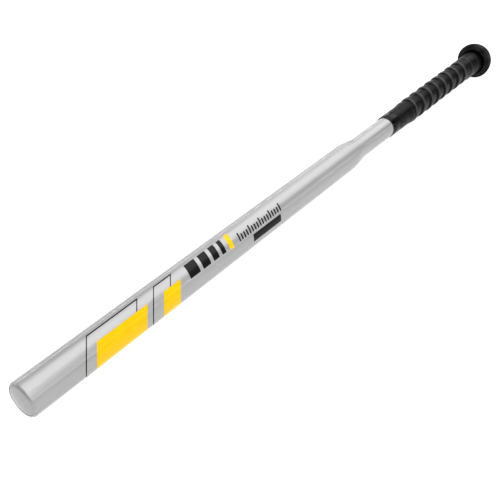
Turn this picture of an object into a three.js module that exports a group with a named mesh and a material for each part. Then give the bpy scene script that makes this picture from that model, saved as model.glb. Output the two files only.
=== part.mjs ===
// Swing trainer stick: a slim bat-shaped practice stick in swaged aluminium tube,
// with a pressed-in end cap, a wrapped handle and a screwed-on rubber knob.
//
// Frame: the stick's axis lies along X. The origin is the centre of the knob's flat
// end face, +X points out of that face, and the barrel runs away towards -X. +Z is up.
// All dimensions are in millimetres.
//
// Every piece is turned about the stick's axis. Its profile is a list of
// [station, radius] points, where a station is the distance from the barrel's tip.
// A profile runs up the outside towards the knob and comes back down the inside.

import * as THREE from 'three';

// ---- driving dimensions --------------------------------------------------------

const totalLength = 812.8; // 32 in over everything
const segments = 48; // facets round every turned piece
const fitGap = 0.15; // glue line or press-fit clearance between nested pieces

const barrelRadius = 15.875; // 1 1/4 in tube
const barrelWall = 1.6;
const handleRadius = 12.4;
const handleWall = 1.8; // the wall thickens where the tube is swaged down
const lipStation = 1.0; // front of the rolled lip round the end cap
const lipRadius = 3.2; // outer bend radius of that lip
const lipBend = THREE.MathUtils.degToRad(76); // how far the lip is rolled in
const swageStart = 449;
const swageEnd = 487;
const tubeEnd = 800.6; // the tube stops inside the knob

const capDome = 1.3; // how far the cap's face bulges
const capShoulder = 5.0; // station where the cap's shoulder stops against the lip
const capDepth = 17.0;
const capWall = 2.0;
const foamLength = 45.0;

const tapeStart = 543.5; // front edge of the finishing tape
const tapeEnd = 558.5;
const tapeThickness = 0.4;
const wrapStart = 547; // the wrap starts under the finishing tape
const wrapFeather = 0.4; // thickness of its skived start
const wrapEnd = 790.2;
const wrapThinRadius = 13.2; // its first turn lies flat on the handle
const wrapThinEnd = 580;
const wrapFullStart = 602; // from here on its turns overlap
const wrapRadius = 14.8; // over the crests of those overlaps
const wrapFlareStart = 735;
const wrapFlareRadius = 15.3; // its last turns ride up towards the knob

const knobRadius = 23.8; // 1 7/8 in across
const knobNeckRadius = 13.9;
const knobNeckStation = 791.4;
const knobWidest = 796.0; // station of its largest diameter
const knobFaceRadius = 11.0; // flat end face
const knobShoulder = { axial: 2.6, radial: 3.4 }; // rounding in front of the widest plane
const knobSeat = 801.0; // bottom of the bore that takes the tube
const knobWebEnd = 806.0; // far side of the web that the screw clamps

const screwHoleRadius = 2.6; // clearance hole through the web
const screwRadius = 2.0;
const screwTip = 782;
const screwHead = { radius: 4.6, height: 2.9, socketRadius: 1.9, socketDepth: 1.7 };
const washer = { radius: 7.2, thickness: 1.2 };
const recessRadius = 8.0; // recess for the washer and the screw's head
const coverRadius = 9.0;
const coverThickness = 1.4;

const plugStart = 772; // the insert that the knob's screw bites into
const plugEnd = 800.3;

// ---- profile helpers -----------------------------------------------------------

// Points of a quarter turn or less of an ellipse. Angle 0 points towards the knob
// and a quarter turn points outwards.
function arc(centre, axial, radial, from, to, steps) {
  const points = [];
  for (let i = 0; i <= steps; i += 1) {
    const angle = from + ((to - from) * i) / steps;
    points.push([centre[0] + axial * Math.cos(angle), centre[1] + radial * Math.sin(angle)]);
  }
  return points;
}

// A smooth S-shaped change of radius between two stations, without its end points.
function swage(from, to, steps) {
  const points = [];
  for (let i = 1; i < steps; i += 1) {
    const blend = (1 - Math.cos((Math.PI * i) / steps)) / 2;
    const station = from[0] + ((to[0] - from[0]) * i) / steps;
    points.push([station, from[1] + (to[1] - from[1]) * blend]);
  }
  return points;
}

// Closes a profile on itself, for a piece with a hole along the axis.
function ring(points) {
  return [...points, points[0]];
}

const quarter = Math.PI / 2;

// ---- materials -----------------------------------------------------------------

function material(color, roughness, metalness) {
  return new THREE.MeshStandardMaterial({ color, roughness, metalness });
}

const silver = material(0xb9bbbd, 0.32, 0.85);
const silverPlastic = material(0xb4b6b8, 0.38, 0.3);
const foam = material(0x3b3b3d, 0.95, 0);
const nylon = material(0xd9d6cc, 0.6, 0);
const tapeVinyl = material(0x161617, 0.22, 0);
const wrapLeather = material(0x232323, 0.55, 0);
const knobRubber = material(0x1d1d1e, 0.75, 0);
const zincSteel = material(0xa9abae, 0.35, 1);
const coverPlastic = material(0x29292b, 0.5, 0);

// Turns a profile about the stick's axis and places it on the X axis.
function turned(name, profile, finish) {
  const points = profile.map(([station, radius]) => new THREE.Vector2(radius, station));
  const geometry = new THREE.LatheGeometry(points, segments);
  geometry.rotateZ(-quarter);
  const mesh = new THREE.Mesh(geometry, finish);
  mesh.name = name;
  mesh.position.x = -totalLength;
  return mesh;
}

// ---- the barrel end ------------------------------------------------------------

const barrelBore = barrelRadius - barrelWall;
const handleBore = handleRadius - handleWall;
const lipCentre = [lipStation + lipRadius, barrelRadius - lipRadius];

// One tube: rolled lip, barrel, swage and handle, open at both ends.
function barrelTube() {
  const lipFrom = quarter + lipBend;
  return turned('barrel_tube', ring([
    ...arc(lipCentre, lipRadius, lipRadius, lipFrom, quarter, 6),
    [swageStart, barrelRadius],
    ...swage([swageStart, barrelRadius], [swageEnd, handleRadius], 10),
    [swageEnd, handleRadius],
    [tubeEnd, handleRadius],
    [tubeEnd, handleBore],
    [swageEnd, handleBore],
    ...swage([swageEnd, handleBore], [swageStart, barrelBore], 10),
    [swageStart, barrelBore],
    ...arc(lipCentre, lipRadius - barrelWall, lipRadius - barrelWall, quarter, lipFrom, 4),
  ]), silver);
}

// A moulded cup: its domed face fills the lip, its shoulder sits behind the lip.
function barrelEndCap() {
  const lipEdge = lipCentre[1] + (lipRadius - barrelWall) * Math.cos(lipBend);
  const faceRadius = lipEdge - fitGap;
  const skirtRadius = barrelBore - fitGap;
  const domeRadius = (faceRadius ** 2 + capDome ** 2) / (2 * capDome);
  const domeAngle = Math.asin(faceRadius / domeRadius);
  const dome = arc([domeRadius, 0], domeRadius, domeRadius, Math.PI, Math.PI - domeAngle, 6);
  dome[0][1] = 0;
  return turned('barrel_end_cap', [
    ...dome,
    [capShoulder - (skirtRadius - faceRadius), faceRadius],
    [capShoulder, skirtRadius],
    [capDepth, skirtRadius],
    [capDepth, skirtRadius - capWall],
    [capShoulder, skirtRadius - capWall],
    [capShoulder, 0],
  ], silverPlastic);
}

// Foam that keeps the open tube from ringing, pushed in before the cap.
function dampingPlug() {
  const radius = barrelBore - fitGap;
  const chamfer = 1.0;
  const start = capDepth + 2 * fitGap;
  const end = start + foamLength;
  return turned('damping_plug', [
    [start, 0],
    [start, radius - chamfer],
    [start + chamfer, radius],
    [end - chamfer, radius],
    [end, radius - chamfer],
    [end, 0],
  ], foam);
}

// ---- the handle ----------------------------------------------------------------

// The cushioned wrap, as one sleeve over the crests of its spiral overlaps.
function gripWrap() {
  const inside = handleRadius + fitGap;
  const underTape = inside + wrapFeather;
  const endRound = 1.2;
  return turned('grip_wrap', ring([
    [wrapStart, inside],
    [wrapStart, underTape],
    [tapeEnd + fitGap, underTape],
    [tapeEnd + 2, wrapThinRadius],
    [wrapThinEnd, wrapThinRadius],
    ...swage([wrapThinEnd, wrapThinRadius], [wrapFullStart, wrapRadius], 5),
    [wrapFullStart, wrapRadius],
    [wrapFlareStart, wrapRadius],
    ...swage([wrapFlareStart, wrapRadius], [wrapEnd - 12, wrapFlareRadius], 5),
    ...arc([wrapEnd - endRound, wrapFlareRadius - endRound], endRound, endRound, quarter, 0, 4),
    [wrapEnd, inside],
  ]), wrapLeather);
}

// Vinyl tape wound over the wrap's start, ending on the bare tube.
function finishingTape() {
  const onTube = handleRadius + fitGap;
  const onWrap = onTube + wrapFeather + fitGap;
  return turned('finishing_tape', ring([
    [tapeStart, onTube],
    [tapeStart, onTube + tapeThickness],
    [wrapStart - 1.2, onTube + tapeThickness],
    [wrapStart, onWrap + tapeThickness],
    [tapeEnd, onWrap + tapeThickness],
    [tapeEnd, onWrap],
    [wrapStart - fitGap, onWrap],
    [wrapStart - 2 * fitGap, onTube],
  ]), tapeVinyl);
}

// ---- the knob and what holds it ------------------------------------------------

// A moulded knob that slips over the tube: bore, clamping web and screw recess.
function knob() {
  const bore = handleRadius + fitGap;
  const shoulderCentre = [knobWidest, knobRadius - knobShoulder.radial];
  const backRadial = knobRadius - knobFaceRadius;
  const backAxial = totalLength - knobWidest;
  const coverSeat = totalLength - coverThickness - fitGap;
  return turned('knob', ring([
    [knobNeckStation, bore],
    [knobNeckStation, knobNeckRadius],
    ...arc(shoulderCentre, knobShoulder.axial, knobShoulder.radial, Math.PI, quarter, 5),
    ...arc([knobWidest, knobFaceRadius], backAxial, backRadial, quarter, 0, 9).slice(1),
    [totalLength, coverRadius + fitGap],
    [coverSeat, coverRadius + fitGap],
    [coverSeat, recessRadius],
    [knobWebEnd, recessRadius],
    [knobWebEnd, screwHoleRadius],
    [knobSeat, screwHoleRadius],
    [knobSeat, bore],
  ]), knobRubber);
}

// A nylon insert driven into the tube's end, with a pilot hole for the screw.
function handlePlug() {
  const radius = handleBore - fitGap;
  const pilot = screwRadius + fitGap;
  const chamfer = 0.8;
  return turned('handle_plug', ring([
    [plugStart, pilot],
    [plugStart, radius - chamfer],
    [plugStart + chamfer, radius],
    [plugEnd, radius],
    [plugEnd, pilot],
  ]), nylon);
}

function knobWasher() {
  const start = knobWebEnd + fitGap;
  const end = start + washer.thickness;
  const hole = screwRadius + fitGap;
  return turned('knob_washer', ring([
    [start, hole],
    [start, washer.radius],
    [end, washer.radius],
    [end, hole],
  ]), zincSteel);
}

// A round-headed screw; its drive socket opens towards the knob's end.
function knobScrew() {
  const seat = knobWebEnd + washer.thickness + 2 * fitGap;
  const top = seat + screwHead.height;
  const rounding = 1.4;
  return turned('knob_screw', [
    [screwTip, 0],
    [screwTip + screwRadius, screwRadius],
    [seat, screwRadius],
    [seat, screwHead.radius],
    [top - rounding, screwHead.radius],
    ...arc([top - rounding, screwHead.radius - rounding], rounding, rounding, quarter, 0, 4).slice(1),
    [top, screwHead.socketRadius],
    [top - screwHead.socketDepth, screwHead.socketRadius],
    [top - screwHead.socketDepth, 0],
  ], zincSteel);
}

// A plain disc pressed in flush, hiding the screw.
function knobEndCover() {
  const start = totalLength - coverThickness;
  return turned('knob_end_cover', [
    [start, 0],
    [start, coverRadius],
    [totalLength, coverRadius],
    [totalLength, 0],
  ], coverPlastic);
}

// ---- the stick -----------------------------------------------------------------

const stick = new THREE.Group();
stick.add(barrelTube(), barrelEndCap(), dampingPlug());
stick.add(gripWrap(), finishingTape());
stick.add(knob(), handlePlug(), knobWasher(), knobScrew(), knobEndCover());

export default stick;
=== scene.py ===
"""The looks of the swing trainer stick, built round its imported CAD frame.

The stick lies along X. The barrel's tip is at the low end and the knob at the high end.
Places along it are stations: metres from the barrel's tip. Places round it are angles
measured from straight up (+Z) towards the printed side (-Y).
"""

import math

import bpy
import numpy as np
from mathutils import Matrix, Vector


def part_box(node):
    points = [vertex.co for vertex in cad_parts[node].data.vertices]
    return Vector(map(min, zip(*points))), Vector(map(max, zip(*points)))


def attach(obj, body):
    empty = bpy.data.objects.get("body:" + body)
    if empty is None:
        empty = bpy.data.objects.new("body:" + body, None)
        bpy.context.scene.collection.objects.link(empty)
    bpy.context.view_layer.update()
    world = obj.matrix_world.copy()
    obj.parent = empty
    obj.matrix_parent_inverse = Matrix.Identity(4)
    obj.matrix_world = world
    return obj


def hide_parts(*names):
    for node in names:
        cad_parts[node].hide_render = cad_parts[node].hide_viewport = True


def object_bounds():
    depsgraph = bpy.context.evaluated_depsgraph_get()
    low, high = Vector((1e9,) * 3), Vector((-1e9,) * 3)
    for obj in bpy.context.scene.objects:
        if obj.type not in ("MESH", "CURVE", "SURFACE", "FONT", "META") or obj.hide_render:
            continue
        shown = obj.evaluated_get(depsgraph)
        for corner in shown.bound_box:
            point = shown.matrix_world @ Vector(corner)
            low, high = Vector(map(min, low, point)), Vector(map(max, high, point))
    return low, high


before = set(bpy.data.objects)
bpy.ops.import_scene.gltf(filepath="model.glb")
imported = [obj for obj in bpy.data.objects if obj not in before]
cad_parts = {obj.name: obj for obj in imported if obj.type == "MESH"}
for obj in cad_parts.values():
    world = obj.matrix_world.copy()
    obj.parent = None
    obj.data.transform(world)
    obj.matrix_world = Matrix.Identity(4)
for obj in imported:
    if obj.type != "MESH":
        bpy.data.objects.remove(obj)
cad_low, cad_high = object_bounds()

MM = 0.001
SEGMENTS = 192  # facets round a turned piece
SHARP_ANGLE = math.radians(38)  # edges that turn by more than this stay crisp

# ---- sizes, as on the CAD model -------------------------------------------------

TIP_X = cad_low.x
BARREL_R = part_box("barrel_tube")[1].z
HANDLE_R = 12.4 * MM
BARREL_WALL = 1.6 * MM
HANDLE_WALL = 1.8 * MM
GAP = 0.15 * MM
LIP_R = 3.2 * MM  # outer bend radius of the tube's rolled mouth
LIP_STATION = 1.0 * MM
LIP_BEND = math.radians(76)
SWAGE = (449 * MM, 487 * MM)
CAP_DOME = 1.3 * MM
CAP_SHOULDER = 5.0 * MM  # behind the dome's top
CAP_WALL = 2.0 * MM
KNOB_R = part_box("knob")[1].z
KNOB_WIDEST = 796.0 * MM
KNOB_NECK_R = 13.9 * MM
KNOB_FACE_R = 11.0 * MM
KNOB_SHOULDER = (2.6 * MM, 3.4 * MM)  # rounding in front of the widest plane: along X, and outwards
KNOB_SEAT = 801 * MM  # bottom of the bore that takes the tube
KNOB_WEB_END = 806 * MM
RECESS_R = 8.0 * MM
SCREW_HOLE_R = 2.6 * MM
COVER_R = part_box("knob_end_cover")[1].z


def at(station):
    """The X of a station."""
    return TIP_X + station


def station_of(x):
    return x - TIP_X


# ---- mesh tools -------------------------------------------------------------------


def arc(centre, axial, radial, start, end, steps):
    """Points of an elliptical arc in degrees: 0 points to the knob, 90 points outwards."""
    turns = np.radians(np.linspace(start, end, steps + 1))
    return [(centre[0] + axial * math.cos(t), centre[1] + radial * math.sin(t)) for t in turns]


def rounded(corners, steps=5, closed=True):
    """An outline from corners (x, radius, fillet), with each fillet as an arc."""
    points = []
    count = len(corners)
    for i, (x, r, fillet) in enumerate(corners):
        here = Vector((x, r))
        if fillet == 0 or (not closed and i in (0, count - 1)):
            points.append((x, r))
            continue
        back = (Vector(corners[i - 1][:2]) - here).normalized()
        ahead = (Vector(corners[(i + 1) % count][:2]) - here).normalized()
        half = back.angle(ahead) / 2
        centre = here + (back + ahead).normalized() * fillet / math.sin(half)
        first = here + back * fillet / math.tan(half) - centre
        last = here + ahead * fillet / math.tan(half) - centre
        for k in range(steps + 1):
            spoke = first.slerp(last, k / steps).normalized() * fillet
            points.append((centre.x + spoke.x, centre.y + spoke.y))
    return points


def make_piece(name, vertices, faces):
    mesh = bpy.data.meshes.new(name)
    mesh.from_pydata(vertices, [], faces)
    mesh.validate()
    mesh.shade_smooth()
    mesh.set_sharp_from_angle(angle=SHARP_ANGLE)
    piece = bpy.data.objects.new(name, mesh)
    bpy.context.scene.collection.objects.link(piece)
    return piece


def turned(name, outline, relief=None, segments=SEGMENTS):
    """Turns an outline of (x, radius) points about X.

    The outline runs up the outside towards the knob. It starts and ends on the axis,
    or else closes on itself. relief(x, radius, angles) gives extra radius.
    """
    on_axis = outline[0][1] < 1e-9
    angles = np.arange(segments) * 2 * math.pi / segments
    vertices, rings = [], []
    for x, r in outline:
        if r < 1e-9:
            rings.append([len(vertices)])
            vertices.append((x, 0.0, 0.0))
            continue
        radius = np.full(segments, r)
        if relief is not None:
            radius = radius + relief(x, r, angles)
        rings.append(list(range(len(vertices), len(vertices) + segments)))
        vertices += [
            (x, -q * math.sin(a), q * math.cos(a)) for q, a in zip(radius, angles, strict=True)
        ]
    faces = []
    joined = list(zip(rings[:-1], rings[1:], strict=True))
    if not on_axis:
        joined.append((rings[-1], rings[0]))
    for near, far in joined:
        for j in range(segments):
            k = (j + 1) % segments
            if len(near) == 1:
                faces.append((near[0], far[k], far[j]))
            elif len(far) == 1:
                faces.append((near[j], near[k], far[0]))
            else:
                faces.append((near[j], near[k], far[k], far[j]))
    return make_piece(name, vertices, faces)


def finish_piece(piece, material, slot, *nodes):
    """Gives a piece its material and its place in the frame. Its slot is not used."""
    piece.data.materials.append(material)
    if nodes:
        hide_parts(*nodes)
    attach(piece, "root")
    return piece


def smooth(low, high, value):
    """0 below low, 1 above high, and a smooth change between."""
    t = np.clip((value - low) / (high - low), 0, 1)
    return t * t * (3 - 2 * t)


# ---- material tools -----------------------------------------------------------------


class Nodes:
    """A material and short ways to add nodes to it."""

    def __init__(self, name):
        self.material = bpy.data.materials.new(name)
        self.material.use_nodes = True
        self.tree = self.material.node_tree
        self.shader = self.tree.nodes["Principled BSDF"]
        self.place = self.add("ShaderNodeTexCoord").outputs["Object"]

    def add(self, kind, **settings):
        node = self.tree.nodes.new(kind)
        for key, value in settings.items():
            setattr(node, key, value)
        return node

    def link(self, source, target):
        self.tree.links.new(source, target)

    def put(self, **values):
        """Sets sockets of the shader that are the same all over."""
        for key, value in values.items():
            socket = key.replace("_", " ").title().replace("Ior", "IOR")
            self.shader.inputs[socket].default_value = value

    def scaled(self, x, y, z):
        """The place in the row frame, stretched, so that a pattern can run along X."""
        mapping = self.add("ShaderNodeMapping")
        mapping.inputs["Scale"].default_value = (x, y, z)
        self.link(self.place, mapping.inputs["Vector"])
        return mapping.outputs["Vector"]

    def radius(self):
        """The distance from the stick's axis."""
        node = self.add("ShaderNodeVectorMath", operation="LENGTH")
        self.link(self.scaled(0, 1, 1), node.inputs[0])
        return node.outputs["Value"]

    def noise(self, scale, detail=2.0, rough=0.5, place=None):
        node = self.add("ShaderNodeTexNoise")
        node.inputs["Scale"].default_value = scale
        node.inputs["Detail"].default_value = detail
        node.inputs["Roughness"].default_value = rough
        self.link(place or self.place, node.inputs["Vector"])
        return node.outputs["Fac"]

    def cells(self, scale, feature="F1"):
        node = self.add("ShaderNodeTexVoronoi", feature=feature)
        node.inputs["Scale"].default_value = scale
        self.link(self.place, node.inputs["Vector"])
        return node.outputs["Distance"]

    def math(self, operation, a, b=None):
        node = self.add("ShaderNodeMath", operation=operation)
        for socket, value in zip(node.inputs, (a, b), strict=False):
            if value is None:
                continue
            if isinstance(value, bpy.types.NodeSocket):
                self.link(value, socket)
            else:
                socket.default_value = value
        return node.outputs[0]

    def ramp(self, value, low, high, out_low=0.0, out_high=1.0):
        node = self.add("ShaderNodeMapRange")
        self.link(value, node.inputs["Value"])
        node.inputs["From Min"].default_value = low
        node.inputs["From Max"].default_value = high
        node.inputs["To Min"].default_value = out_low
        node.inputs["To Max"].default_value = out_high
        return node.outputs["Result"]

    def colours(self, value, first, second):
        """Mixes two colours by a value and makes it the base colour."""
        node = self.add("ShaderNodeMix", data_type="RGBA")
        self.link(value, node.inputs["Factor"])
        node.inputs[6].default_value = (*first, 1)
        node.inputs[7].default_value = (*second, 1)
        self.link(node.outputs[2], self.shader.inputs["Base Color"])

    def roughness(self, value):
        self.link(value, self.shader.inputs["Roughness"])

    def bump(self, height, distance, strength=1.0, under=None):
        """A bump whose height is in metres times distance. under is a coarser bump's normal."""
        node = self.add("ShaderNodeBump")
        node.inputs["Strength"].default_value = strength
        node.inputs["Distance"].default_value = distance
        self.link(height, node.inputs["Height"])
        if under is not None:
            self.link(under, node.inputs["Normal"])
        self.link(node.outputs["Normal"], self.shader.inputs["Normal"])
        return node.outputs["Normal"]


# ---- materials ------------------------------------------------------------------------


def silver_lacquer(name, base):
    """Silver lacquer: fine bright flakes, faint lengthwise drawing marks, clear coat."""
    n = Nodes(name)
    flakes = n.cells(2600)
    drawn = n.noise(1.0, 3.0, 0.55, n.scaled(6, 700, 700))
    cloud = n.noise(28, 2.0)
    tone = n.math("ADD", n.math("MULTIPLY", flakes, 0.55), n.math("MULTIPLY", drawn, 0.5))
    tone = n.math("ADD", tone, n.math("MULTIPLY", cloud, 0.25))
    dark = tuple(0.93 * c for c in base)
    light = tuple(1.06 * c for c in base)
    n.colours(n.ramp(tone, 0.35, 0.95), dark, light)
    n.roughness(n.ramp(n.math("ADD", drawn, cloud), 0.6, 1.4, 0.42, 0.48))
    n.put(metallic=0.55, coat_weight=1.0, coat_roughness=0.05, coat_ior=1.3,
          specular_tint=(0.6, 0.6, 0.6, 1))
    n.bump(n.math("ADD", n.math("MULTIPLY", drawn, 0.6), n.noise(420, 1.0)), 0.02 * MM, 0.5)
    return n.material


def printed_ink(name, base, gloss):
    """Screen-printed ink: a faint mesh weave, slightly uneven laydown."""
    n = Nodes(name)
    weave = n.noise(3200, 0.0)
    cloud = n.noise(120, 2.0)
    dark = tuple(0.94 * c for c in base)
    n.colours(n.ramp(cloud, 0.35, 0.65), dark, base)
    n.roughness(n.ramp(cloud, 0.3, 0.7, gloss, gloss + 0.08))
    n.put(specular_ior_level=0.45, coat_weight=0.3, coat_roughness=0.08)
    n.bump(weave, 0.01 * MM, 0.6)
    return n.material


def wrap_leather():
    """Cushioned synthetic leather: pebbled grain, fine pores, a dull sheen, and a painted highlight, a
    paler band on each notch's rising face.
    """
    n = Nodes("wrap_leather")
    pebbles = n.cells(1250, "SMOOTH_F1")
    pores = n.noise(5200, 2.0, 0.6)
    creases = n.noise(1.0, 3.0, 0.6, n.scaled(420, 160, 160))
    mottle = n.noise(330, 3.0, 0.6)
    # painted highlight: the paler band stored on the wrap's mesh, on each notch's rising face towards
    # the tip
    edge = n.add("ShaderNodeAttribute", attribute_name="painted_notch_highlight").outputs["Fac"]
    tone = n.math("ADD", edge, n.ramp(n.math("ADD", mottle, pebbles), 0.7, 1.4, 0.09, -0.12))
    n.colours(tone, (0.007, 0.007, 0.0075), (0.115, 0.115, 0.117))
    n.roughness(n.ramp(n.math("ADD", mottle, creases), 0.7, 1.3, 0.26, 0.46))
    n.put(specular_ior_level=0.38, sheen_weight=0.03, sheen_roughness=0.4)
    coarse = n.bump(n.math("ADD", creases, mottle), 0.35 * MM, 0.7)
    grain = n.bump(n.math("MULTIPLY", pebbles, -1.0), 0.14 * MM, 0.8, coarse)
    n.bump(pores, 0.02 * MM, 0.6, grain)
    return n.material


def tape_vinyl():
    """Glossy vinyl tape, stretched, with shallow ripples across its width."""
    n = Nodes("tape_vinyl")
    ripple = n.noise(1.0, 3.0, 0.5, n.scaled(260, 110, 110))
    fine = n.noise(2400, 1.0)
    n.colours(n.ramp(ripple, 0.3, 0.7), (0.007, 0.007, 0.008), (0.012, 0.012, 0.013))
    n.roughness(n.ramp(ripple, 0.3, 0.7, 0.10, 0.2))
    n.put(specular_ior_level=0.38)
    n.bump(fine, 0.008 * MM, 0.5, n.bump(ripple, 0.35 * MM, 0.6))
    return n.material


def moulded_rubber():
    """Matte rubber with a spark-eroded texture and patchy grey bloom, kept near black within about 17
    mm of the axis: painted shade for the groove round the handle.
    """
    n = Nodes("moulded_rubber")
    texture = n.noise(900, 3.0, 0.7)
    bloom = n.noise(60, 3.0)
    # painted shade: 0 within 16.6 mm of the axis and 1 past 17.8 mm, so the groove and neck stay near
    # black
    beyond_painted_groove_shade = n.ramp(n.radius(), 16.6 * MM, 17.8 * MM)
    patchy = n.ramp(n.math("ADD", texture, bloom), 0.85, 1.15, 0.2, 1.0)
    n.colours(n.math("MULTIPLY", patchy, beyond_painted_groove_shade), (0.004, 0.004, 0.0045), (0.072, 0.072, 0.074))
    n.roughness(n.ramp(bloom, 0.3, 0.7, 0.52, 0.66))
    n.put(specular_ior_level=0.35)
    n.bump(texture, 0.16 * MM, 0.7)
    return n.material


def satin_plastic():
    """Satin moulded plastic, with fine flow marks."""
    n = Nodes("satin_plastic")
    flow = n.noise(1.0, 2.0, 0.5, n.scaled(60, 260, 260))
    grain = n.noise(2600, 2.0)
    n.colours(n.ramp(flow, 0.3, 0.7), (0.017, 0.017, 0.018), (0.027, 0.027, 0.029))
    n.roughness(n.ramp(grain, 0.3, 0.7, 0.36, 0.48))
    n.bump(grain, 0.03 * MM, 0.6)
    return n.material


def cellular_foam():
    """Closed-cell foam, grey and open-pored where it is cut."""
    n = Nodes("cellular_foam")
    cell = n.cells(900)
    n.colours(n.ramp(cell, 0.05, 0.6), (0.02, 0.02, 0.022), (0.07, 0.07, 0.075))
    n.roughness(n.ramp(cell, 0.0, 0.6, 0.95, 0.8))
    n.bump(cell, 0.5 * MM, 0.9)
    return n.material


def natural_nylon():
    """Uncoloured nylon: slightly see-through, with a cloudy surface."""
    n = Nodes("natural_nylon")
    cloud = n.noise(180, 3.0)
    n.colours(n.ramp(cloud, 0.3, 0.7), (0.62, 0.58, 0.49), (0.74, 0.70, 0.61))
    n.roughness(n.ramp(cloud, 0.3, 0.7, 0.45, 0.6))
    n.put(subsurface_weight=0.1)
    n.bump(n.noise(1900, 2.0), 0.02 * MM, 0.5)
    return n.material


def zinc_plate():
    """Zinc-plated steel: spangled, with turning marks."""
    n = Nodes("zinc_plate")
    spangle = n.cells(1400)
    turning = n.noise(1.0, 2.0, 0.5, n.scaled(5200, 120, 120))
    n.colours(n.ramp(spangle, 0.1, 0.7), (0.46, 0.47, 0.49), (0.62, 0.63, 0.64))
    n.roughness(n.ramp(turning, 0.3, 0.7, 0.24, 0.4))
    n.put(metallic=1.0)
    n.bump(turning, 0.02 * MM, 0.6)
    return n.material


# ---- the barrel --------------------------------------------------------------------


def swage_points(first, last, radius_from, radius_to, steps=24):
    """The S-shaped change of radius where the tube is swaged down."""
    points = []
    for t in np.linspace(0, 1, steps + 1):
        blend = (1 - math.cos(math.pi * t)) / 2
        radius = radius_from + (radius_to - radius_from) * blend
        points.append((at(first + (last - first) * t), radius))
    return points


def barrel_tube(material):
    """The whole tube: rolled mouth, barrel, swage and handle, open at both ends."""
    centre = (at(LIP_STATION + LIP_R), BARREL_R - LIP_R)
    bend = 90 + math.degrees(LIP_BEND)
    inner = LIP_R - BARREL_WALL
    bore, handle_bore = BARREL_R - BARREL_WALL, HANDLE_R - HANDLE_WALL
    tube_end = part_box("barrel_tube")[1].x
    outline = arc(centre, LIP_R, LIP_R, bend, 90, 14)
    outline += swage_points(*SWAGE, BARREL_R, HANDLE_R)
    deburr = 0.4 * MM
    outline += rounded([(tube_end, HANDLE_R, deburr), (tube_end, handle_bore, deburr)], 3, False)
    outline += swage_points(SWAGE[1], SWAGE[0], handle_bore, bore)
    outline += arc(centre, inner, inner, 90, bend, 8)
    return finish_piece(turned("tube_lacquered", outline), material, "barrel_silver", "barrel_tube")


def end_cap(material):
    """The domed cap: a smooth crown that fills the tube's mouth, and a skirt inside the tube."""
    low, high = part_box("barrel_end_cap")
    skirt = high.z
    face = BARREL_R - LIP_R + (LIP_R - BARREL_WALL) * math.cos(LIP_BEND) - GAP
    crown_over = 0.3 * MM  # closes the groove between the dome and the tube's lip
    dome_r = (face**2 + CAP_DOME**2) / (2 * CAP_DOME)
    half = math.degrees(math.asin((face - crown_over) / dome_r))
    outline = arc((low.x + dome_r, 0.0), dome_r, dome_r, 180, 180 - half, 18)
    outline[0] = (low.x, 0.0)
    shoulder = low.x + CAP_SHOULDER
    outline += rounded(
        [
            (low.x + CAP_DOME, face + crown_over, 0.0),
            (low.x + CAP_DOME + 0.9 * MM, face, 0.0),
            (shoulder - (skirt - face), face, 0.0),
            (shoulder, skirt, 0.2 * MM),
            (high.x, skirt, 0.5 * MM),
            (high.x, skirt - CAP_WALL, 0.3 * MM),
            (shoulder, skirt - CAP_WALL, 0.8 * MM),
            (shoulder, 0.0, 0.0),
        ],
        4,
        closed=False,
    )
    return finish_piece(turned("end_cap_domed", outline), material, "end_cap_silver", "barrel_end_cap")


# ---- the print on the barrel ---------------------------------------------------------

INK_OVER = 0.05 * MM  # top of the ink over the lacquer
INK_UNDER = 0.04 * MM  # its underside, sunk in the lacquer
INK_STEP = math.radians(2.0)

BAR_LEAN = 4 * MM  # how far a bar leans towards the tip, at most
BAR_LEAN_ANGLE = math.radians(109)  # where round the barrel it leans most
FAN_START = 62  # station in millimetres where the blocks' lean is the one below
FAN_LEAN = 14.5  # millimetres
FAN_LEAN_GAIN = 0.0256  # more lean for each millimetre towards the handle
FAN_ANGLE = 101.5  # degrees
FAN_ANGLE_LOSS = 0.0654  # degrees less for each millimetre towards the handle

BLOCK_TOP, BLOCK_BOTTOM = 34.8, 164.0  # degrees
FRAME_TOP, FRAME_BOTTOM = -1.5, 128.0
BLOCKS = {"large": (77.6, 135.7), "small": (156.5, 178.3)}  # stations in millimetres
FRAMES = {"large": (65.5, 123.3), "small": (142.7, 165.3)}
FRAME_LINE = 1.05  # width in millimetres of a frame's line
BARS_START = 180.7
BAR_WIDTHS = (13.0, 10.0, 7.5, 5.0)
BAR_SPACE = 4.5
BAR_TOP, BAR_BOTTOM = 4.0, 54.0
SLASH = (235.6, 241.1, 2.0, 57.0)
TICKS_START, TICK_PITCH, TICK_COUNT = 250.1, 4.0, 17
TICK_WIDTH = 1.6
TICK_TOP, LONG_TICK_TOP = 33.0, 24.0
PANEL = (269.0, 313.0, 63.0, 89.0)


def slight(_station, angle):
    """How far a bar's edge leans towards the tip, which is the same at every station."""
    return BAR_LEAN * math.cos(angle - BAR_LEAN_ANGLE)


def fanned(station, angle):
    """The same for a block's edge, which leans further the nearer it is to the handle."""
    past = station / MM - FAN_START
    most_at = math.radians(FAN_ANGLE - FAN_ANGLE_LOSS * past)
    return (FAN_LEAN + FAN_LEAN_GAIN * past) * MM * math.cos(angle - most_at)


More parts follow.
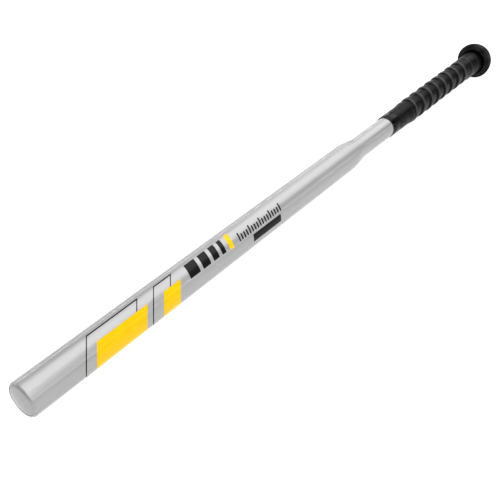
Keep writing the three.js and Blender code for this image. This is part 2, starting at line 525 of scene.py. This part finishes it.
def printed(name, areas, material, slot, lean):
    """A print on the barrel, as one thin closed film.

    areas are (first, last, top, bottom): stations in millimetres and angles in degrees.
    They touch along edges or not at all, and lean(station, angle) slants their ends.
    """
    columns = sorted({s * MM for first, last, _, _ in areas for s in (first, last)})
    edges = sorted({math.radians(a) for _, _, top, bottom in areas for a in (top, bottom)})
    rows = [edges[0]]
    for start, end in zip(edges[:-1], edges[1:], strict=True):
        count = max(1, math.ceil((end - start) / INK_STEP))
        rows += [start + (end - start) * (k + 1) / count for k in range(count)]

    def inked(i, j):
        if not (0 <= i < len(columns) - 1 and 0 <= j < len(rows) - 1):
            return False
        s = (columns[i] + columns[i + 1]) / 2 / MM
        a = math.degrees((rows[j] + rows[j + 1]) / 2)
        return any(first < s < last and top < a < bottom for first, last, top, bottom in areas)

    vertices, index, faces = [], {}, []

    def corner(i, j, over):
        key = (i, j, over)
        if key not in index:
            angle = rows[j]
            x = at(columns[i]) - lean(columns[i], angle)
            r = BARREL_R + (INK_OVER if over else -INK_UNDER)
            index[key] = len(vertices)
            vertices.append((x, -r * math.sin(angle), r * math.cos(angle)))
        return index[key]

    def wall(a, b):
        faces.append((corner(*a, True), corner(*a, False), corner(*b, False), corner(*b, True)))

    for i in range(len(columns) - 1):
        for j in range(len(rows) - 1):
            if not inked(i, j):
                continue
            loop = [(i, j), (i, j + 1), (i + 1, j + 1), (i + 1, j)]
            faces.append(tuple(corner(*p, True) for p in loop))
            faces.append(tuple(corner(*p, False) for p in reversed(loop)))
            beside = [(i - 1, j), (i, j + 1), (i + 1, j), (i, j - 1)]
            for k in range(4):
                if not inked(*beside[k]):
                    wall(loop[k], loop[(k + 1) % 4])
    return finish_piece(make_piece(name, vertices, faces), material, slot)


def frame_areas(first, last, stop_side, stop_foot):
    """A thin frame's areas, left open where the solid block beside it covers it."""
    turn = math.degrees(FRAME_LINE * MM / BARREL_R)
    return [
        (first, first + FRAME_LINE, FRAME_TOP, FRAME_BOTTOM),
        (first + FRAME_LINE, last, FRAME_TOP, FRAME_TOP + turn),
        (last - FRAME_LINE, last, FRAME_TOP + turn, stop_side),
        (first + FRAME_LINE, stop_foot, FRAME_BOTTOM - turn, FRAME_BOTTOM),
    ]


def prints(yellow, black):
    """Two leaning blocks, each with an offset frame, then plain bars, ticks and a panel."""
    for size, (first, last) in BLOCKS.items():
        block = [(first, last, BLOCK_TOP, BLOCK_BOTTOM)]
        printed("print_block_" + size, block, yellow, "graphic_yellow", fanned)
        lines = frame_areas(*FRAMES[size], BLOCK_TOP - 1.0, first - 0.8)
        printed("print_outline_" + size, lines, black, "graphic_black", fanned)

    bars = []
    start = BARS_START
    for width in BAR_WIDTHS:
        bars.append((start, start + width, BAR_TOP, BAR_BOTTOM))
        start += width + BAR_SPACE
    printed("print_bars", bars, black, "graphic_black", slight)
    printed("print_slash", [SLASH], yellow, "graphic_yellow", slight)
    ticks = []
    for k in range(TICK_COUNT):
        start = TICKS_START + TICK_PITCH * k
        top = LONG_TICK_TOP if k % 4 == 0 else TICK_TOP
        ticks.append((start, start + TICK_WIDTH, top, BAR_BOTTOM))
    printed("print_ticks", ticks, black, "graphic_black", slight)
    printed("print_panel", [PANEL], black, "graphic_black", slight)


# ---- the handle -----------------------------------------------------------------------

WRAP_PITCH = 20.1 * MM  # one turn of the wrap
WRAP_NOTCH = 596.6 * MM  # station of its first deep notch, at the angle below
WRAP_NOTCH_ANGLE = math.radians(40)
WRAP_LAST_NOTCH = 738 * MM  # the turns sit evenly at this station and at the first notch
WRAP_THIN_R = 13.15 * MM  # its first turn lies flat on the handle
WRAP_SWELL = (580 * MM, 602 * MM)  # where its turns begin to overlap
WRAP_CREST_R = 14.75 * MM  # over the overlaps
WRAP_FLARE = (735 * MM, 778 * MM)  # where its last turns ride up towards the knob
WRAP_FLARE_RISE = 0.45 * MM
WRAP_VALLEY_R = 12.62 * MM  # between them
WRAP_RISE = 5.0 * MM  # width of a notch's side towards the knob
WRAP_FALL = 14.0 * MM  # width of its side towards the barrel
WRAP_EDGE = 0.12 * MM  # edge of the strip that shows all the way along
NOTCH_HIGHLIGHT_PAST = 4.0 * MM  # middle of the painted highlight band, from the bottom of the notch
NOTCH_HIGHLIGHT_HALF = 2.2 * MM


def wrap_crest(station):
    """Radius over the wrap's overlaps."""
    swell = smooth(*WRAP_SWELL, station)
    flare = smooth(*WRAP_FLARE, station)
    return WRAP_THIN_R + (WRAP_CREST_R - WRAP_THIN_R) * swell + WRAP_FLARE_RISE * flare


def past_notch(station, angles):
    """How far past the bottom of the last notch a place on the wrap is."""
    share = (station - WRAP_NOTCH) / (WRAP_LAST_NOTCH - WRAP_NOTCH)
    slack = (1.9 * np.sin(math.pi * share) + 0.8 * np.sin(2 * math.pi * share)) * MM
    turns = (station - WRAP_NOTCH - slack) / WRAP_PITCH + (angles - WRAP_NOTCH_ANGLE) / (2 * math.pi)
    return (turns % 1.0) * WRAP_PITCH


def wrap_relief(x, r, angles):
    """The notches between the wrap's spiral turns, as negative extra radius.

    deep and whole fade the notches and the strip's edge in and out along the handle.
    """
    inside_face = r < HANDLE_R + 0.6 * MM
    if inside_face:
        return 0.0
    s = station_of(x)
    past = past_notch(s, angles)
    rise = np.clip(1 - past / WRAP_RISE, 0, 1) ** 1.5
    fall = np.clip(1 - (WRAP_PITCH - past) / WRAP_FALL, 0, 1) ** 1.25
    notch = np.maximum(rise, fall)
    deep = smooth(590 * MM, 599 * MM, s) * (1 - 0.7 * smooth(740 * MM, 752 * MM, s))
    deep = deep * (1 - smooth(766 * MM, 776 * MM, s))
    whole = smooth(563 * MM, 568 * MM, s) * (1 - smooth(782 * MM, 787 * MM, s))
    edge = WRAP_EDGE * np.clip(1 - past / (10 * MM), 0, 1)
    uneven = 0.09 * MM * np.sin(3 * angles + s * 90) * np.sin(s * 140 + 1.0)
    return (edge + uneven) * whole - notch * deep * (wrap_crest(s) - WRAP_VALLEY_R)


def paint_notch_highlights(mesh):
    """Stores a painted highlight: a paler band on the rising face just past each notch, the face that
    turns towards the tip.
    """
    places = np.array([v.co for v in mesh.vertices])
    stations = station_of(places[:, 0])
    past = past_notch(stations, np.arctan2(-places[:, 1], places[:, 2]))
    off_line = np.abs(past - NOTCH_HIGHLIGHT_PAST) / NOTCH_HIGHLIGHT_HALF
    seen = smooth(592 * MM, 600 * MM, stations) * (1 - 0.6 * smooth(744 * MM, 760 * MM, stations))
    mark = mesh.attributes.new("painted_notch_highlight", "FLOAT", "POINT")
    mark.data.foreach_set("value", np.clip(1 - off_line, 0, 1) * seen)


def grip_wrap(material):
    """The spiral wrap, from its thin start under the tape to its last turns at the knob."""
    low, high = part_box("grip_wrap")
    inside = HANDLE_R + GAP
    feather = inside + 0.4 * MM
    tape_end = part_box("finishing_tape")[1].x
    outline = [(low.x, feather), (tape_end + 0.2 * MM, feather)]
    outline += [(tape_end + 1.2 * MM, WRAP_THIN_R - 0.15 * MM), (tape_end + 2 * MM, WRAP_THIN_R)]
    end_round = 1.2 * MM
    for x in np.arange(tape_end + 2.5 * MM, high.x - end_round, 0.5 * MM):
        outline.append((x, wrap_crest(station_of(x))))
    end_r = wrap_crest(station_of(high.x))
    outline += arc((high.x - end_round, end_r - end_round), end_round, end_round, 90, 0, 6)
    outline += [(high.x, inside), (low.x, inside)]
    piece = turned("wrap_spiral", outline, wrap_relief, 160)
    paint_notch_highlights(piece.data)
    return finish_piece(piece, material, "grip_wrap_black", "grip_wrap")


def tape_relief(x, r, angles):
    """Ripples of the stretched tape, and the step where its outer end is stuck down."""
    low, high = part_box("finishing_tape")
    inside_face = r < HANDLE_R + 0.5 * MM
    if inside_face:
        return 0.0
    share = (x - low.x) / (high.x - low.x)
    lap = 0.16 * MM * smooth(-0.02, 0.02, np.sin(angles - math.radians(150) - share * 0.5))
    ripple = 0.05 * MM * np.sin(9 * angles + 14 * share)
    ripple = ripple + 0.04 * MM * np.sin(23 * angles - 31 * share)
    second = 0.07 * MM * smooth(0.42, 0.47, share)
    pinch = math.exp(-(((share - 0.8) / 0.14) ** 2)) * np.exp(-(((angles - 0.25) / 0.5) ** 2))
    crumple = 0.16 * MM * pinch * np.sin(26 * angles + 40 * share)
    return lap + ripple * math.sin(math.pi * share) + second + crumple


def finishing_tape(material):
    """The tape, which steps up from the bare tube over the wrap's start."""
    low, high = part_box("finishing_tape")
    inside = HANDLE_R + GAP
    on_wrap = high.z - 0.6 * MM
    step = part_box("grip_wrap")[0].x
    outline = rounded(
        [
            (low.x, inside, 0.0),
            (low.x, inside + 0.38 * MM, 0.1 * MM),
            (step - 0.8 * MM, inside + 0.38 * MM, 0.8 * MM),
            (step + 1.2 * MM, high.z - 0.3 * MM, 0.8 * MM),
            (high.x, high.z - 0.3 * MM, 0.1 * MM),
            (high.x, on_wrap, 0.0),
            (step - GAP, on_wrap, 0.0),
            (step - 2 * GAP, inside, 0.0),
        ],
        4,
    )
    piece = turned("tape_wound", outline, tape_relief, 256)
    return finish_piece(piece, material, "finishing_tape_black", "finishing_tape")


# ---- the knob ---------------------------------------------------------------------------


def knob(material):
    """The moulded knob: a groove round the handle, rounded rim, fine mould line, domed back."""
    low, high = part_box("knob")
    bore = HANDLE_R + GAP
    widest = at(KNOB_WIDEST)
    groove_r = 16.9 * MM
    groove_floor = low.x + 2.4 * MM
    groove_lip = low.x + 0.95 * MM
    groove = [
        (groove_floor, KNOB_NECK_R + 0.2 * MM),
        (groove_floor, groove_r - 0.4 * MM),
        (groove_lip, groove_r),
    ]
    front = arc((widest, KNOB_R - KNOB_SHOULDER[1]), *KNOB_SHOULDER, 180, 90, 14)[:-1]
    back = arc((widest, KNOB_FACE_R), high.x - widest, KNOB_R - KNOB_FACE_R, 90, 0, 26)[1:]
    seam = 0.25 * MM
    beside_seam = KNOB_R - 0.08 * MM
    mould_line = [(widest - seam, beside_seam), (widest, KNOB_R), (widest + seam, beside_seam)]
    recess = COVER_R + GAP
    cover_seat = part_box("knob_end_cover")[0].x - GAP
    web_end = at(KNOB_WEB_END)
    seat = at(KNOB_SEAT)
    inside = [
        (high.x, recess),
        (cover_seat, recess),
        (cover_seat, RECESS_R),
        (web_end, RECESS_R),
        (web_end, SCREW_HOLE_R),
        (seat, SCREW_HOLE_R),
        (seat, bore),
        (low.x, bore),
    ]
    outline = [(low.x, KNOB_NECK_R)] + groove + front + mould_line + back + inside
    return finish_piece(turned("knob_moulded", outline), material, "knob_rubber", "knob")


def end_cover(material):
    """The disc in the knob's end: a fine raised rim round a shallow dished middle."""
    low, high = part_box("knob_end_cover")
    dish_r = COVER_R - 1.1 * MM
    dish = 0.35 * MM
    outline = rounded(
        [
            (low.x, 0.0, 0.0),
            (low.x, COVER_R, 0.2 * MM),
            (high.x, COVER_R, 0.3 * MM),
            (high.x, dish_r, 0.2 * MM),
            (high.x - dish, dish_r - dish, 0.3 * MM),
            (high.x - dish, 0.0, 0.0),
        ],
        4,
        closed=False,
    )
    return finish_piece(turned("cover_disc", outline), material, "cover_plastic", "knob_end_cover")


# ---- the hidden pieces keep their CAD shape ------------------------------------------------


def dress_cad_node(node, material):
    """Gives a CAD solid that is shown as it is its material."""
    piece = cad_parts[node]
    piece.data.materials.clear()
    piece.data.materials.append(material)


# ---- the studio ------------------------------------------------------------------------------


def floor():
    """A plain backlit white table, which touches the barrel at one end and the knob at the other."""
    tip = (cad_low.x + 4 * MM, -BARREL_R)
    heel = (at(KNOB_WIDEST), -KNOB_R)
    slope = (heel[1] - tip[1]) / (heel[0] - tip[0])
    half = 6.0
    middle = (cad_low.x + cad_high.x) / 2
    corners = []
    for dx, dy in ((-half, -half), (half, -half), (half, half), (-half, half)):
        corners.append((middle + dx, dy, tip[1] + slope * (middle + dx - tip[0])))
    piece = make_piece("floor", corners, [(0, 1, 2, 3)])
    n = Nodes("floor_acrylic")
    n.colours(n.ramp(n.noise(40, 2.0), 0.3, 0.7), (0.29, 0.29, 0.29), (0.31, 0.31, 0.31))
    n.put(roughness=0.85, specular_ior_level=0.2, emission_color=(1, 1, 1, 1), emission_strength=0.52)
    piece.data.materials.append(n.material)


def area_light(name, place, along, facing, size, radiance):
    """A soft box. along is its long side's direction, and facing is where it shines.

    Its radiance is given, so that its brightness in a reflection holds at any size.
    """
    data = bpy.data.lights.new(name, "AREA")
    data.shape = "RECTANGLE"
    data.size, data.size_y = size
    data.energy = radiance * math.pi * size[0] * size[1]
    lamp = bpy.data.objects.new(name, data)
    bpy.context.scene.collection.objects.link(lamp)
    back = -facing.normalized()
    turn = Matrix((along, back.cross(along), back)).transposed().to_4x4()
    lamp.matrix_world = Matrix.Translation(place) @ turn


def studio():
    """An even grey surround, soft boxes overhead and a narrow low strip on each side."""
    world = bpy.data.worlds.new("studio")
    world.use_nodes = True
    bpy.context.scene.world = world
    background = world.node_tree.nodes["Background"]
    background.inputs["Color"].default_value = (1.0, 1.0, 1.0, 1)
    background.inputs["Strength"].default_value = 0.27
    down, along = Vector((0, 0, -1)), Vector((1, 0, 0))
    area_light("overhead", Vector((0.8, 0.06, 1.2)), along, down, (4.2, 1.36), 1.0)
    area_light("far_box", Vector((1.95, 1.55, 1.2)), along, down, (2.5, 1.6), 0.5)
    area_light("front_box", Vector((-1.1, -1.0, 1.2)), along, Vector((0.4, 1.0, -1.2)), (1.6, 0.9), 1.1)
    middle = (cad_low.x + cad_high.x) / 2
    low_back, low_front = Vector((middle + 0.6, 1.3, 0.44)), Vector((middle + 0.6, -1.3, 0.5))
    area_light("back_strip", low_back, along, -low_back * Vector((0, 1, 1)), (3.4, 0.07), 5.5)
    area_light("front_strip", low_front, along, -low_front * Vector((0, 1, 1)), (3.4, 0.07), 4.5)


def camera():
    """The viewpoint: over the barrel's tip, looking along the stick to the knob."""
    azimuth, elevation = math.radians(-52.03), math.radians(37.57)
    back = Vector(
        (
            math.sin(azimuth) * math.cos(elevation),
            -math.cos(azimuth) * math.cos(elevation),
            math.sin(elevation),
        )
    )
    target = Vector((cad_low.x + 0.2527, -0.0207, 0.0))
    data = bpy.data.cameras.new("camera")
    data.sensor_width = 36.0
    data.lens = 52.92
    view = bpy.data.objects.new("camera", data)
    bpy.context.scene.collection.objects.link(view)
    view.location = target + back * 0.6958
    view.rotation_mode = "QUATERNION"
    view.rotation_quaternion = (-back).to_track_quat("-Z", "Y")
    bpy.context.scene.camera = view


# ---- everything together ------------------------------------------------------------------------

camera()
studio()
floor()
barrel_tube(silver_lacquer("silver_lacquer", (0.45, 0.449, 0.45)))
end_cap(silver_lacquer("cap_lacquer", (0.46, 0.459, 0.46)))
ink_yellow = printed_ink("ink_yellow", (0.87, 0.535, 0.001), 0.32)
ink_black = printed_ink("ink_black", (0.010, 0.010, 0.010), 0.36)
prints(ink_yellow, ink_black)
grip_wrap(wrap_leather())
finishing_tape(tape_vinyl())
knob(moulded_rubber())
end_cover(satin_plastic())
dress_cad_node("damping_plug", cellular_foam())
dress_cad_node("handle_plug", natural_nylon())
plate = zinc_plate()
dress_cad_node("knob_washer", plate)
dress_cad_node("knob_screw", plate)

bpy.context.scene.view_settings.view_transform = "Standard"
bpy.context.scene.view_settings.look = "Very High Contrast"
